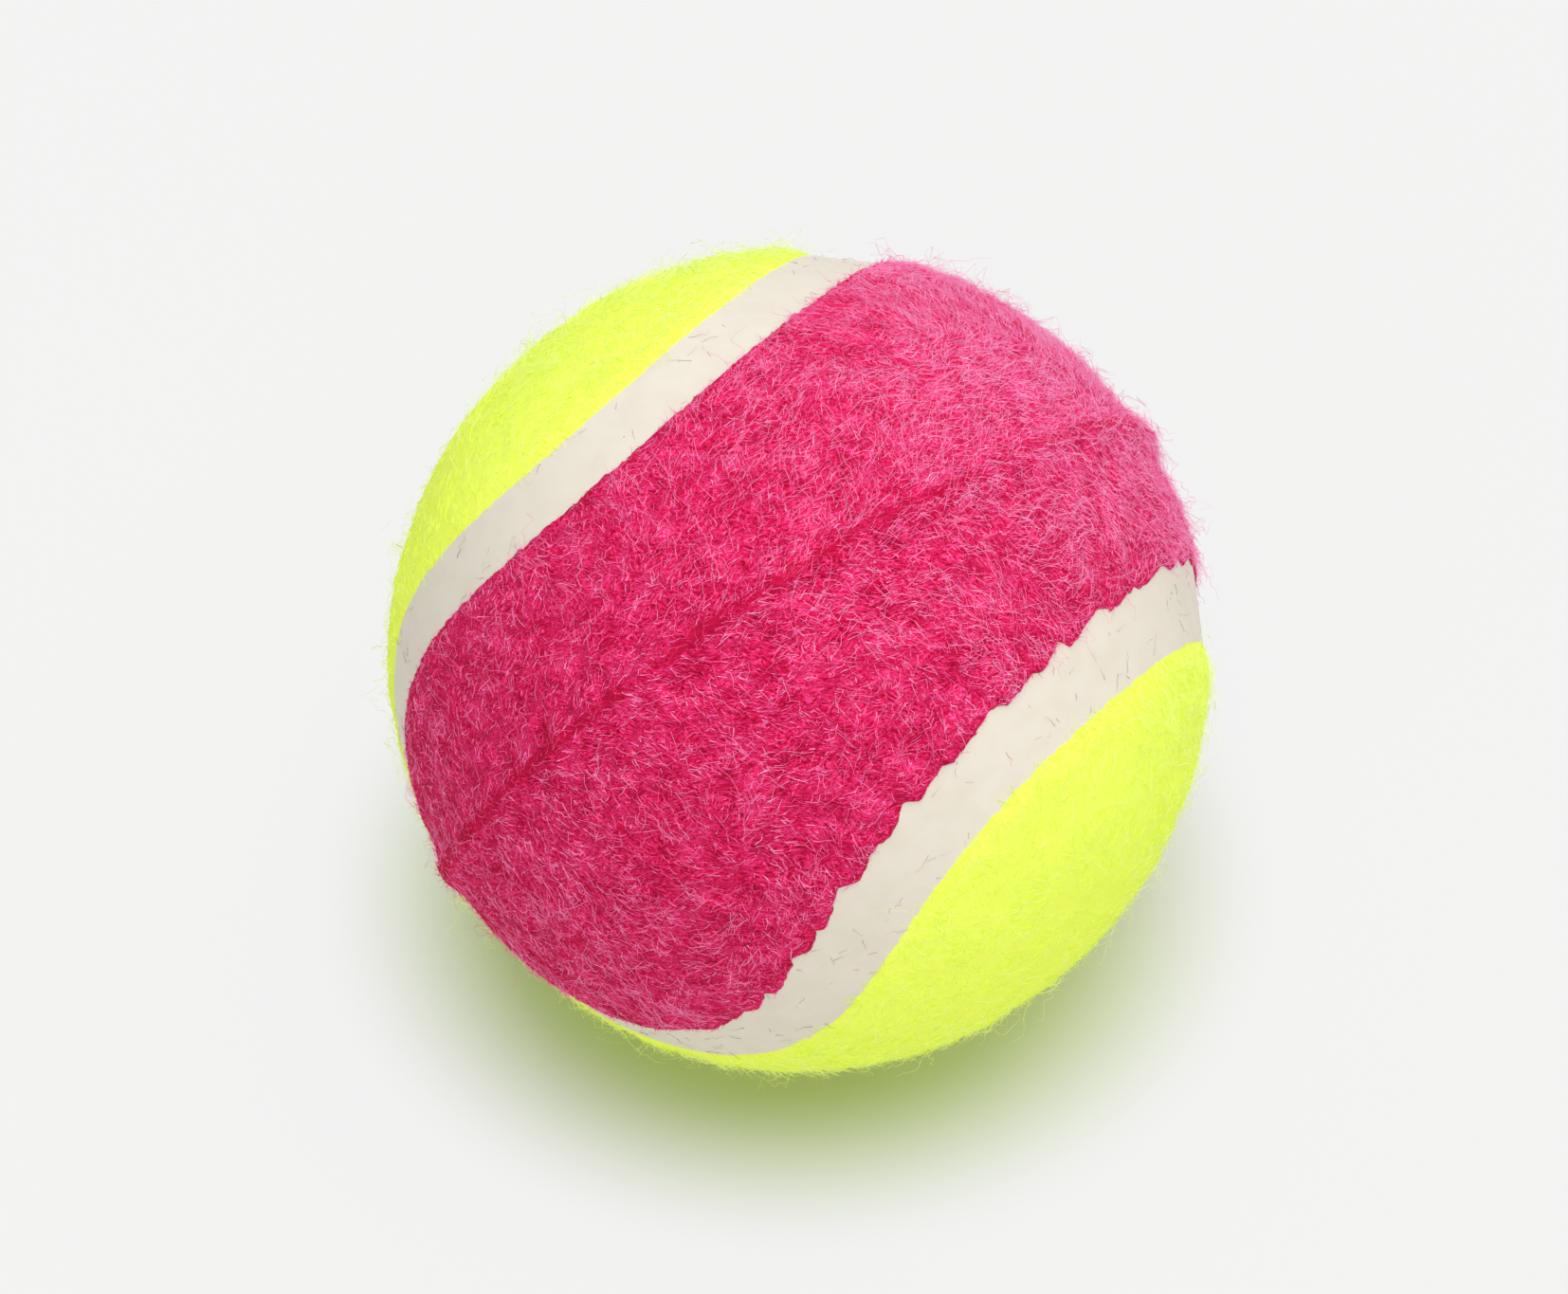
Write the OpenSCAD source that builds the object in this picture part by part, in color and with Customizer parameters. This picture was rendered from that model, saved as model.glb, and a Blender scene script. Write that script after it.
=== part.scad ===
// Felt-covered tennis ball, with a hollow rubber core and a broad seam.
// The ball's centre is the origin, and +Z is up as the ball lies.

/* [Core] */
// Outside diameter of the rubber core
core_d = 60; // [50:0.5:66]
// Wall of the rubber core
core_wall = 3.1; // [2:0.1:6]
// Thickness of the cement between the two halves
joint_t = 0.4; // [0.2:0.1:1]
// Radius of the bead of cement squeezed out inside the joint
bead_r = 0.8; // [0.4:0.1:1.5]

/* [Cover] */
// Coat of rubber solution on the core
coat_t = 0.2; // [0.1:0.05:0.5]
// Coat of rubber solution on the back of each felt panel
backing_t = 0.3; // [0.1:0.05:0.6]
// Thickness of the felt, nap included
felt_t = 3; // [2:0.1:4]
// Roundness of the felt's edge along the seam
felt_edge_r = 0.6; // [0.2:0.1:1]

/* [Seam] */
// Width of the rubber seam, along the ball's surface
seam_w = 6.3; // [4:0.1:8]
// Depth of the seam below the felt
seam_drop = 0.7; // [0.2:0.1:1.5]
// Distance that the seam lies towards the pink panel, whose blank is cut smaller
seam_shift = 1.6; // [0:0.1:2.5]
// How far the panels swell into lobes, as a share of the seam curve's main wave
seam_lobe = 0.355; // [0.2:0.005:0.42]
// How far the seam swings to either side of its great circle, as a share of the same wave
seam_swing = 0.773; // [0.5:0.005:1.1]
// Depth of the notches that the cutting die leaves along the pink panel's edge
notch_depth = 0.5; // [0.1:0.05:0.8]
// Number of notches along the pink panel's edge
notch_count = 70; // [30:2:90]

/* [Mould ridge] */
// Height of the ridge of felt where the cover mould closed
ridge_h = 1.1; // [0.4:0.1:1.5]
// Width of that ridge at its foot
ridge_w = 6.4; // [4:0.1:9]
// Turn of the ridge from the pink panel's length
ridge_turn = 10.3; // [-20:0.1:20]
// Lean of the ridge's plane from the pink panel's middle
ridge_lean = 6.7; // [-10:0.1:10]
// Distance from the end of the ridge to the felt's edge
ridge_end = 1.5; // [1:0.1:4]

/* [How the ball lies] */
// Turns of the panels about X, Y and Z, in that order
lie_x = 29.9; // [-180:0.1:180]
// Turn about Y
lie_y = 4; // [-180:0.1:180]
// Turn about Z
lie_z = 97.5; // [-180:0.1:180]

/* [Hidden] */
$fn = 180;

core_r = core_d / 2;
cavity_r = core_r - core_wall;
coat_r = core_r + coat_t;
backing_r = coat_r + backing_t;
felt_r = backing_r + felt_t;
seam_r = felt_r - seam_drop;

// Each panel's edge, as a distance from the seam curve: the curve is centred on the band, less its shift
pink_edge = seam_w / 2 + seam_shift;
yellow_edge = seam_w / 2 - seam_shift;

// How a ball is tipped over: for a panel, its poles lie in the lobes, clear of the ridge, and its back
// lies on the other panel; for the seam, its poles lie beside the band
pink_tip = [-75, 0, 0];
yellow_tip = [0, 0, 180];
seam_tip = [0, 90, 110];

// How far the notches drift from even spacing, as an angle, and how far they fade, as a share of their depth,
// each with its number of waves round the panel
notch_drift = 40;
drift_waves = 7;
notch_fade = 0.3;
fade_waves = 5;

// Where the ridge's sides bend, as shares of its half width, and how sharply its crest is pinched
ridge_bends = [0.75, 0.45, 0.2, 0.06];
ridge_pinch = 1.6;

// A panel's outline is cut by a block that widens from the ball's centre to well past its surface
block_in = core_r / 2;
block_out = felt_r * 2;
pink_steps = 360;
yellow_steps = 180;
ridge_steps = 60;

// The felt's edge stands straight up from the core, then rolls over in two flats
edge_low = 40;
edge_high = 70;

felt_pink = [0.88, 0.22, 0.42];
felt_yellow = [0.86, 0.98, 0.3];
rubber_white = [0.9, 0.87, 0.82];
rubber_dark = [0.3, 0.28, 0.27];
cement_tan = [0.75, 0.66, 0.48];

function unit(v) = v / norm(v);
// Arc on the felt's surface, as an angle at the ball's centre
function arc(d) = d / felt_r * 180 / PI;

// The seam is one closed curve that swings to either side of a great circle, the same for both panels
function seam_wave(t) = [
  cos(t) + seam_lobe * cos(3 * t),
  sin(t) - seam_lobe * sin(3 * t),
  seam_swing * sin(2 * t)
];
function seam_slope(t) = [
  -sin(t) - 3 * seam_lobe * sin(3 * t),
  cos(t) - 3 * seam_lobe * cos(3 * t),
  2 * seam_swing * cos(2 * t)
];
// Direction across the seam, towards the pink panel
function seam_side(t) = unit(cross(seam_wave(t), seam_slope(t)));
// Direction of a point at distance d from the seam curve, where the pink side is positive
function beside_seam(t, d) = unit(seam_wave(t)) * cos(arc(d)) + seam_side(t) * sin(arc(d));

// The die's notches: rounded lobes of uneven length, with a sharp nick between two of them
function notch(t) = notch_depth * (1 - abs(sin(notch_count / 2 * t + notch_drift * sin(drift_waves * t))))
  * (1 - notch_fade + notch_fade * sin(fade_waves * t));

// Radius of each ring of a block and how far the ring draws in from the panel's edge there
straight_wall = [[block_in, 0], [block_out, 0]];
ridge_wall = [[block_in, ridge_end], [block_out, ridge_end]];
edge_slope = (cos(edge_low) - cos(edge_high)) / (sin(edge_high) - sin(edge_low));
edge_past = 2 * felt_edge_r;
rolled_wall = [
  [block_in, 0],
  [felt_r - felt_edge_r, 0],
  [felt_r - felt_edge_r * (1 - sin(edge_low)), felt_edge_r * (1 - cos(edge_low))],
  [felt_r - felt_edge_r * (1 - sin(edge_high)), felt_edge_r * (1 - cos(edge_high))],
  [
    felt_r + edge_past,
    felt_edge_r * (1 - cos(edge_high)) + edge_slope * (edge_past + felt_edge_r * (1 - sin(edge_high)))
  ],
  [
    block_out,
    felt_edge_r * (1 - cos(edge_high)) + edge_slope * (edge_past + felt_edge_r * (1 - sin(edge_high)))
  ]
];

// Rings of n points, one for each radius; a panel's first point is the end of a lobe, so point i faces n - i
function pink_rings(wall, n, nicked) = [
  for (w = wall, i = [0:n - 1])
    let (t = 135 + 360 * i / n)
      w[0] * beside_seam(t, pink_edge + w[1] + (nicked ? notch(t) : 0))
];
function yellow_rings(wall, n) = [
  for (w = wall, i = [0:n - 1])
    let (t = 45 - 360 * i / n)
      w[0] * beside_seam(t, -yellow_edge - w[1])
];

// Closes rings of n points into a block: a point at the ball's centre below, walls, and rungs across the top
module block(points, n) {
  rings = len(points) / n;
  top = (rings - 1) * n;
  centre = len(points);
  foot_faces = [for (i = [0:n - 1]) [centre, i, (i + 1) % n]];
  wall_faces = [
    for (k = [0:rings - 2], i = [0:n - 1])
      let (a = k * n + i, b = k * n + (i + 1) % n)
        each [[a, b + n, b], [a, a + n, b + n]]
  ];
  rung_faces = [
    for (i = [1:n / 2 - 2])
      each [
        [top + i, top + n - i, top + i + 1],
        [top + i + 1, top + n - i, top + n - i - 1]
      ]
  ];
  end_faces = [
    [top, top + n - 1, top + 1],
    [top + n / 2 - 1, top + n / 2 + 1, top + n / 2]
  ];
  polyhedron(
    concat(points, [[0, 0, 0]]),
    concat(foot_faces, wall_faces, rung_faces, end_faces),
    convexity = 6
  );
}

module pink_block(wall, steps = pink_steps, nicked = true) {
  block(pink_rings(wall, steps, nicked), steps);
}

module yellow_block(wall, steps = yellow_steps) {
  block(yellow_rings(wall, steps), steps);
}

// Turns the panels from their own axes to the way the ball lies
module as_it_lies() {
  rotate([lie_x, lie_y, lie_z])
    children();
}

module shell(inner_r, outer_r) {
  difference() {
    sphere(outer_r);
    sphere(inner_r);
  }
}

// Turns +Z to the axis that the mould's ridge goes round
module about_ridge() {
  rotate([0, 90 - ridge_lean, 45 - ridge_turn])
    children();
}

// The mould's ridge: felt drawn up from both sides into a narrow crest
module mould_ridge() {
  foot = felt_r - ridge_h;
  half = ridge_w / 2;
  rise = function (share) sqrt(felt_r * felt_r - pow(half * share, 2)) + ridge_h * pow(1 - share, ridge_pinch);
  flank = [for (share = ridge_bends) [rise(share), half * share]];
  outline = [
    [foot, -half],
    [felt_r - felt_edge_r, -half],
    for (point = flank) [point[0], -point[1]],
    for (i = [len(flank) - 1:-1:0]) flank[i],
    [felt_r - felt_edge_r, half],
    [foot, half]
  ];
  about_ridge()
    rotate_extrude()
      polygon(outline);
}

// A ball tipped over about the ridge's axis
module ball(r, tip) {
  about_ridge()
    rotate(tip)
      sphere(r);
}

// A felt panel: the first child is the block that cuts its outline, the second the one that ends its ridge
module felt_panel(tip) {
  difference() {
    intersection() {
      union() {
        ball(felt_r, tip);
        intersection() {
          mould_ridge();
          children(1);
        }
      }
      children(0);
    }
    ball(backing_r, tip);
  }
}

// The coat on a panel's back, cut by the block that cuts the panel
module panel_backing(tip) {
  difference() {
    intersection() {
      ball(backing_r, tip);
      children();
    }
    ball(coat_r, tip);
  }
}

// Half of the core, where side is 1 for the top half and -1 for the bottom half
module core_half(side) {
  reach = core_d;
  intersection() {
    shell(cavity_r, core_r);
    translate([-reach / 2, -reach / 2, side > 0 ? joint_t / 2 : -reach - joint_t / 2])
      cube(reach);
  }
}

module core_half_top() {
  color(rubber_dark)
    core_half(1);
}

module core_half_bottom() {
  color(rubber_dark)
    core_half(-1);
}

module core_joint_cement() {
  color(cement_tan) {
    union() {
      intersection() {
        shell(cavity_r, core_r);
        cube([core_d, core_d, joint_t], center = true);
      }
      intersection() {
        sphere(cavity_r);
        rotate_extrude()
          translate([cavity_r, 0])
            circle(bead_r);
      }
    }
  }
}

module core_coat() {
  color(cement_tan)
    shell(core_r, coat_r);
}

module pink_backing() {
  color(cement_tan)
    as_it_lies()
      panel_backing(pink_tip)
        pink_block(straight_wall);
}

module yellow_backing() {
  color(cement_tan)
    as_it_lies()
      panel_backing(yellow_tip)
        yellow_block(straight_wall);
}

module pink_felt() {
  color(felt_pink)
    as_it_lies()
      felt_panel(pink_tip) {
        pink_block(rolled_wall);
        pink_block(ridge_wall, ridge_steps, false);
      }
}

module yellow_felt() {
  color(felt_yellow)
    as_it_lies()
      felt_panel(yellow_tip) {
        yellow_block(rolled_wall);
        yellow_block(ridge_wall, ridge_steps);
      }
}

module seam_rubber() {
  color(rubber_white)
    as_it_lies()
      difference() {
        difference() {
          rotate(seam_tip)
            sphere(seam_r);
          pink_block(straight_wall);
          yellow_block(straight_wall);
        }
        rotate(seam_tip)
          sphere(coat_r);
      }
}

core_half_top();
core_half_bottom();
core_joint_cement();
core_coat();
pink_backing();
yellow_backing();
pink_felt();
yellow_felt();
seam_rubber();
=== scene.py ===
import math
import bpy
import numpy as np
from mathutils import Matrix, Vector, noise
from mathutils.geometry import delaunay_2d_cdt


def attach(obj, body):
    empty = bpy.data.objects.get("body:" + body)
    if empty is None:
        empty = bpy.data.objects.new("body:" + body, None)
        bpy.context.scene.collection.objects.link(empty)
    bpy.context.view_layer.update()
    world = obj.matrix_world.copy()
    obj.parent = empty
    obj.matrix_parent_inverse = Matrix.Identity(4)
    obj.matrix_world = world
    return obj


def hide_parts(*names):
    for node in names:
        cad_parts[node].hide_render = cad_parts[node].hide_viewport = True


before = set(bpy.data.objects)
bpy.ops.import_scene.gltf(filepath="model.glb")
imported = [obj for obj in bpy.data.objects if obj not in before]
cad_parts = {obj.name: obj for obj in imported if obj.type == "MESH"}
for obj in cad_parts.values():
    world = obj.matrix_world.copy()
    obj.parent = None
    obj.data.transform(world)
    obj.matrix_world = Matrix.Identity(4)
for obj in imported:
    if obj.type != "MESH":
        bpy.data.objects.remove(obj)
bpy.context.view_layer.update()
noise.seed_set(4)  # noise vectors start from the clock without this
print("frame loaded:", len(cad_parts), "nodes")

# the ball's sizes in metres and its seam's curve, the same as in the CAD
ball = {
    "feltRadius": 0.0335,
    "backRadius": 0.0305,
    "coatRadius": 0.0302,
    "seamRadius": 0.0328,
    "lobe": 0.355,  # shares of the seam curve's main wave
    "swing": 0.773,
    "lie": (29.9, 4.0, 97.5),  # degrees about X, Y and Z
    "fluffAndPaintedLightSide": (0.5, 0.7, 0.51),  # the felt is fluffiest on this side, and its colour is painted paler towards it, as if lit
}
cut = {  # the panels' cut edges
    "pinkEdge": 0.00475,  # distance from the seam curve
    "yellowEdge": 0.00155,
    "ragSize": 0.0007,  # of the fine unevenness along both edges
    "bulge": 0.0018,
    "bulgeAt": 2.22,  # places along the seam curve are in radians
    "bulgeSpread": 0.36,
    "roomDepth": 0.0013,  # unevenness fades where the pink edge turns too tightly for this depth
    "roomGain": 1.6,
    "roomLoss": 0.3,
}
steps = {  # uneven steps of the pink edge
    "count": 62,
    "seed": 5,
    "lengths": (0.55, 1.45),  # shares of the mean length
    "depth": 0.00085,
    "depths": (0.45, 1.2),  # shares of that depth
    "cutIn": 0.78,  # shares of a step's length
    "comeBack": 0.22,
    "cutInPower": 1.3,
    "comeBackPower": 0.8,
    "wornAt": 1.13,  # hardly any steps are left here
    "wornMean": 0.75,
    "wornSwing": 0.65,
    "wornLimits": (0.12, 1.1),
}
ridge = {  # low ridge where the cover's mould closed
    "height": 0.0011,
    "width": 0.0064,
    "power": 1.6,
    "turn": 10.3,  # degrees
    "lean": 6.7,
    "endGap": 0.0008,  # it ends short of a panel's edge
    "endFade": 0.0012,
    "splitWidth": 0.0003,  # thin split along the crest
    "splitDepth": 0.0002,
}
noiseRule = {
    "roughness": 0.6,
    "spacing": 2.1,  # from one octave to the next
    "shift": (1.0, 7.3, -3.1),
    "vectorShift": (1.0, -2.7, 5.9),
}
shifts = {  # keep one noise apart from another
    "lumps": 1.0, "grain": 2.0, "swirl": 3.0, "rag": 4.0, "fineSwirl": 5.0, "patch": 6.0,
    "seamWave": 8.0, "crestBreak": 9.0,
}


def turned(degrees, axis):
    return Matrix.Rotation(math.radians(degrees), 3, axis)


lieTurn = np.array(turned(ball["lie"][2], "Z") @ turned(ball["lie"][1], "Y") @ turned(ball["lie"][0], "X"))
# square to the ridge, which runs along the pink panel but for a slight turn and lean
ridgeNormal = np.array(turned(45 - ridge["turn"], "Z") @ turned(90 - ridge["lean"], "Y") @ Vector((0, 0, 1)))


def unit(v):
    return v / np.linalg.norm(v, axis=-1, keepdims=True)


def tangent(v, p):
    return unit(v - p * np.sum(v * p, axis=1, keepdims=True))


def besideSeam(t, d):
    # direction of points at distance d from the seam curve, pink side positive
    wave = np.stack([
        np.cos(t) + ball["lobe"] * np.cos(3 * t),
        np.sin(t) - ball["lobe"] * np.sin(3 * t),
        ball["swing"] * np.sin(2 * t),
    ], axis=-1)
    slope = np.stack([
        -np.sin(t) - 3 * ball["lobe"] * np.sin(3 * t),
        np.cos(t) - 3 * ball["lobe"] * np.cos(3 * t),
        2 * ball["swing"] * np.cos(2 * t),
    ], axis=-1)
    angle = (d / ball["feltRadius"])[..., None]
    return unit(wave) * np.cos(angle) + unit(np.cross(wave, slope)) * np.sin(angle)


def edgeRoom(t):
    # 0 to 1: the pink edge's steps need room, and have little where it turns tightly
    edge = besideSeam(t, cut["pinkEdge"] + 0 * t)
    deep = besideSeam(t, cut["pinkEdge"] + cut["roomDepth"] + 0 * t)
    step = np.roll(edge, -1, axis=0) - edge
    deepStep = np.sum((np.roll(deep, -1, axis=0) - deep) * unit(step), axis=1)
    room = cut["roomGain"] * deepStep / np.linalg.norm(step, axis=1).mean()
    return np.clip(room - cut["roomLoss"], 0, 1)


def notch(t):
    # depth of the pink edge's steps: each cuts in slowly and comes back at once
    rng = np.random.default_rng(steps["seed"])
    lengths = rng.uniform(*steps["lengths"], steps["count"])
    depths = steps["depth"] * rng.uniform(*steps["depths"], steps["count"])
    places = np.cumsum(lengths) / lengths.sum()
    edge = besideSeam(t, cut["pinkEdge"] + 0 * t)
    parts = np.linalg.norm(np.roll(edge, -1, axis=0) - edge, axis=1)
    run = (np.cumsum(parts) - parts) / parts.sum()
    after = np.searchsorted(places, run) % len(places)
    before = after - 1
    share = np.clip(((run - places[before]) % 1) / ((places[after] - places[before]) % 1), 0, 1)
    cutIn = (share / steps["cutIn"]) ** steps["cutInPower"]
    comeBack = ((1 - share) / steps["comeBack"]) ** steps["comeBackPower"]
    saw = np.where(share < steps["cutIn"], cutIn, comeBack)
    worn = steps["wornMean"] - steps["wornSwing"] * np.cos(t - steps["wornAt"])
    return edgeRoom(t) * depths[after] * saw * np.clip(worn, *steps["wornLimits"])


def bulge(t):
    # one end of the pink panel reaches a little further round the ball
    return cut["bulge"] * np.exp(-((t - cut["bulgeAt"]) / cut["bulgeSpread"]) ** 2)


def ridgeGap(p):
    # signed distance from the crest of the mould's ridge, along the surface
    return np.arcsin(np.clip(p @ ridgeNormal, -1, 1)) * ball["feltRadius"]


def ridgeRise(p):
    share = np.clip(1 - np.abs(ridgeGap(p)) / (ridge["width"] / 2), 0, 1)
    return ridge["height"] * share ** ridge["power"]


def noiseAt(p, size, shift, octaves=3):
    # noise of about -1 to 1 at unit directions p, with lumps of a given size in metres
    scale = ball["feltRadius"] / size
    lift = Vector([axis * shift for axis in noiseRule["shift"]])
    kind = (noiseRule["roughness"], noiseRule["spacing"], octaves)
    return np.array([noise.fractal(Vector(q) * scale + lift, *kind) for q in p])


def noiseVectorAt(p, size, shift):
    scale = ball["feltRadius"] / size
    lift = Vector([axis * shift for axis in noiseRule["vectorShift"]])
    return np.array([noise.noise_vector(Vector(q) * scale + lift) for q in p])


def makeMesh(name, points, faces, smooth=True, sharpFrom=50):
    mesh = bpy.data.meshes.new(name)
    mesh.from_pydata([tuple(v) for v in points], [], [tuple(int(i) for i in f) for f in faces])
    mesh.polygons.foreach_set("use_smooth", [smooth] * len(mesh.polygons))
    mesh.update()
    mesh.set_sharp_from_angle(angle=math.radians(sharpFrom))
    piece = bpy.data.objects.new(name, mesh)
    bpy.context.scene.collection.objects.link(piece)
    return piece


# camera: square on to the ball from the front, 55 degrees up
camera = {
    "elevation": 55.0,
    "distance": 1.005,
    "lens": 285.2,  # millimetres, and so is the sensor
    "sensor": 36.0,
    "clip": (0.01, 100),
    "ballRight": 15.0,  # pixels from the picture's centre
    "ballDown": 14.5,
    "focalPixels": 13103.0,
}


def makeCamera(c):
    up = math.radians(c["elevation"])
    toward = Vector((0, -math.cos(up), math.sin(up)))
    right = Vector((1, 0, 0))
    above = Vector((0, math.sin(up), math.cos(up)))
    pixel = c["distance"] / c["focalPixels"]
    data = bpy.data.cameras.new("camera")
    data.lens = c["lens"]
    data.sensor_width = c["sensor"]
    data.clip_start, data.clip_end = c["clip"]
    view = bpy.data.objects.new("camera", data)
    spot = toward * c["distance"] - right * c["ballRight"] * pixel + above * c["ballDown"] * pixel
    turn = Matrix((right, above, toward)).transposed().to_4x4()
    view.matrix_world = Matrix.Translation(spot) @ turn
    bpy.context.scene.collection.objects.link(view)
    bpy.context.scene.camera = view


makeCamera(camera)
print("camera set")


# nodes for the materials and for the nap
def addNode(tree, kind, inputs=None, **settings):
    # each input is a constant, or a socket to join
    node = tree.nodes.new(kind)
    for label, value in settings.items():
        setattr(node, label, value)
    for label, value in (inputs or {}).items():
        if isinstance(value, bpy.types.NodeSocket):
            tree.links.new(value, node.inputs[label])
        else:
            node.inputs[label].default_value = value
    return node


def maths(tree, operation, *values):
    return addNode(tree, "ShaderNodeMath", dict(enumerate(values)), operation=operation).outputs[0]


def vectors(tree, operation, inputs):
    node = addNode(tree, "ShaderNodeVectorMath", inputs, operation=operation)
    return node.outputs["Value" if operation in ("DISTANCE", "DOT_PRODUCT") else "Vector"]


def mapRange(tree, value, span, to=(0.0, 1.0), smooth=False):
    inputs = {"Value": value, "From Min": span[0], "From Max": span[1], "To Min": to[0], "To Max": to[1]}
    kind = "SMOOTHSTEP" if smooth else "LINEAR"
    return addNode(tree, "ShaderNodeMapRange", inputs, interpolation_type=kind).outputs["Result"]


def mixColour(tree, factor, a, b):
    node = addNode(tree, "ShaderNodeMix", {"Factor": factor, "A": a, "B": b}, data_type="RGBA")
    return node.outputs["Result"]


def objectPlace(tree):
    return addNode(tree, "ShaderNodeTexCoord").outputs["Object"]


def newMaterial(name, surface):
    material = bpy.data.materials.new(name)
    material.use_nodes = True
    tree = material.node_tree
    shader = tree.nodes["Principled BSDF"]
    for label, value in surface.items():
        shader.inputs[label].default_value = value
    return material, tree, shader


# studio: pale floor, white dome, a broad lamp overhead and a weaker one in front
studio = {
    "floorSize": 4.0,
    "floorColour": (0.7, 0.7, 0.64, 1),
    "floorSurface": {"Roughness": 0.75, "Specular IOR Level": 0.1},
    "paintedShadeColour": (0.565, 0.62, 0.39, 1),  # painted shade: a darker, greener floor that only the camera sees, deepening the ball's shadow and standing in for the yellow felt's bounce light
    "shadeReach": (0.0215, 0.041),  # where the seen floor starts and ends to lose its shade
    "shadeOval": (1, 1.12, 1),
    "shadeLoss": 0.9,
    "floorSeen": (0.928, 0.922, 0.945, 1),  # and away from the ball
    "domeLow": 0.24,  # dome's strength at the horizon and overhead
    "domeHigh": 0.56,
    "domeSeen": 0.9,
    "lampSize": 1.3,
    "lampPlace": (0.22, 0.06, 1.1),
    "lampPower": 11.2,
    "fillSize": 1.0,
    "fillPlace": (-0.1, -1.0, 0.55),
    "fillPower": 3.1,
}


def seenRay(tree):
    # 1 for what the camera sees, straight, in a reflection or through something clear
    path = addNode(tree, "ShaderNodeLightPath").outputs
    seen = maths(tree, "MAXIMUM", path["Is Camera Ray"], path["Is Glossy Ray"])
    return maths(tree, "MAXIMUM", seen, path["Is Transmission Ray"])


def paleFloor(tree, shader, s):
    # the floor is seen paler away from the ball, so the shade stays close to it
    seen = seenRay(tree)
    oval = vectors(tree, "MULTIPLY", {0: objectPlace(tree), 1: s["shadeOval"]})
    reach = vectors(tree, "DISTANCE", {0: oval, 1: (0, 0, -ball["feltRadius"])})
    loss = mapRange(tree, reach, s["shadeReach"], (0.0, s["shadeLoss"]), smooth=True)
    # painted shade: the camera sees the floor darker and greener than the light does
    tree.links.new(mixColour(tree, seen, s["floorColour"], s["paintedShadeColour"]), shader.inputs["Base Color"])
    pale = addNode(tree, "ShaderNodeEmission", {"Color": s["floorSeen"]})
    mix = addNode(tree, "ShaderNodeMixShader", {
        "Fac": maths(tree, "MULTIPLY", loss, seen),
        1: shader.outputs["BSDF"],
        2: pale.outputs["Emission"],
    })
    tree.links.new(mix.outputs["Shader"], tree.nodes["Material Output"].inputs["Surface"])


def makeFloor(s):
    half = s["floorSize"] / 2
    low = -ball["feltRadius"]
    corners = [(-half, -half, low), (half, -half, low), (half, half, low), (-half, half, low)]
    floor = makeMesh("floor", corners, [(0, 1, 2, 3)], smooth=False)
    material, tree, shader = newMaterial("pale floor", s["floorSurface"])
    floor.data.materials.append(material)
    paleFloor(tree, shader, s)


def makeDome(s):
    # white light that is stronger overhead, and one plain colour where the camera sees it
    world = bpy.data.worlds.new("studio")
    world.use_nodes = True
    bpy.context.scene.world = world
    tree = world.node_tree
    dome = tree.nodes["Background"]
    dome.inputs["Color"].default_value = (1, 1, 1, 1)
    place = addNode(tree, "ShaderNodeTexCoord").outputs["Generated"]
    climb = addNode(tree, "ShaderNodeSeparateXYZ", {"Vector": place}).outputs["Z"]
    strength = mapRange(tree, climb, (0.0, 1.0), (s["domeLow"], s["domeHigh"]))
    tree.links.new(strength, dome.inputs["Strength"])
    seen = addNode(tree, "ShaderNodeBackground", {"Color": (s["domeSeen"],) * 3 + (1,)})
    mix = addNode(tree, "ShaderNodeMixShader", {
        "Fac": seenRay(tree),
        1: dome.outputs["Background"],
        2: seen.outputs["Background"],
    })
    tree.links.new(mix.outputs["Shader"], tree.nodes["World Output"].inputs["Surface"])


def makeLamps(s):
    for label in ("lamp", "fill"):
        data = bpy.data.lights.new(label, "AREA")
        data.size = s[label + "Size"]
        data.energy = s[label + "Power"]
        lamp = bpy.data.objects.new(label, data)
        lamp.location = s[label + "Place"]
        lamp.rotation_euler = Vector(s[label + "Place"]).to_track_quat("Z", "Y").to_euler()
        bpy.context.scene.collection.objects.link(lamp)


makeFloor(studio)
makeDome(studio)
makeLamps(studio)
print("studio set")

# felt panels: sheets with a rolled, stepped edge and a lumpy ground under the nap
pinkPanel = {
    "side": 1,
    "ringPoints": 1800,
    "gridStep": 0.00062,
    "backStep": 0.0022,
    "groundRadius": 0.0331,
    "lumpSize": 0.0035,
    "lumpHeight": 0.00022,
    "grainSize": 0.0011,
    "grainHeight": 0.0001,
    "edgeRag": 0.0002,  # fine unevenness of the cut edge
    "edgeDrop": 0.00007,
    "edgeFade": 0.0012,  # the ground grows lumpy over this distance
    "combed": 0.5,  # how much the nap lies inwards at the edge
    "profile": [  # how far in from the cut edge, and at what radius
        (0.0, 0.0305),
        (0.0, 0.0321),
        (0.00002, 0.0327),
        (0.0001, 0.03298),
        (0.0003, 0.03306),
    ],
    "flat": (0.043, 0.154),
    "area": 0.00551,
}
yellowPanel = {
    "side": -1,
    "ringPoints": 1800,
    "gridStep": 0.0007,
    "backStep": 0.0024,
    "groundRadius": 0.0331,
    "lumpSize": 0.0045,
    "lumpHeight": 0.00014,
    "grainSize": 0.0012,
    "grainHeight": 0.00007,
    "edgeRag": 0.00018,
    "edgeDrop": 0.00018,
    "edgeFade": 0.0012,
    "combed": 0.0,
    "profile": [
        (0.0, 0.0305),
        (0.0, 0.0325),
        (0.0, 0.03279),
        (0.00025, 0.03284),
        (0.0006, 0.03289),
    ],
    "flat": (0.050, 0.161),
    "area": 0.00656,
}
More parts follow.
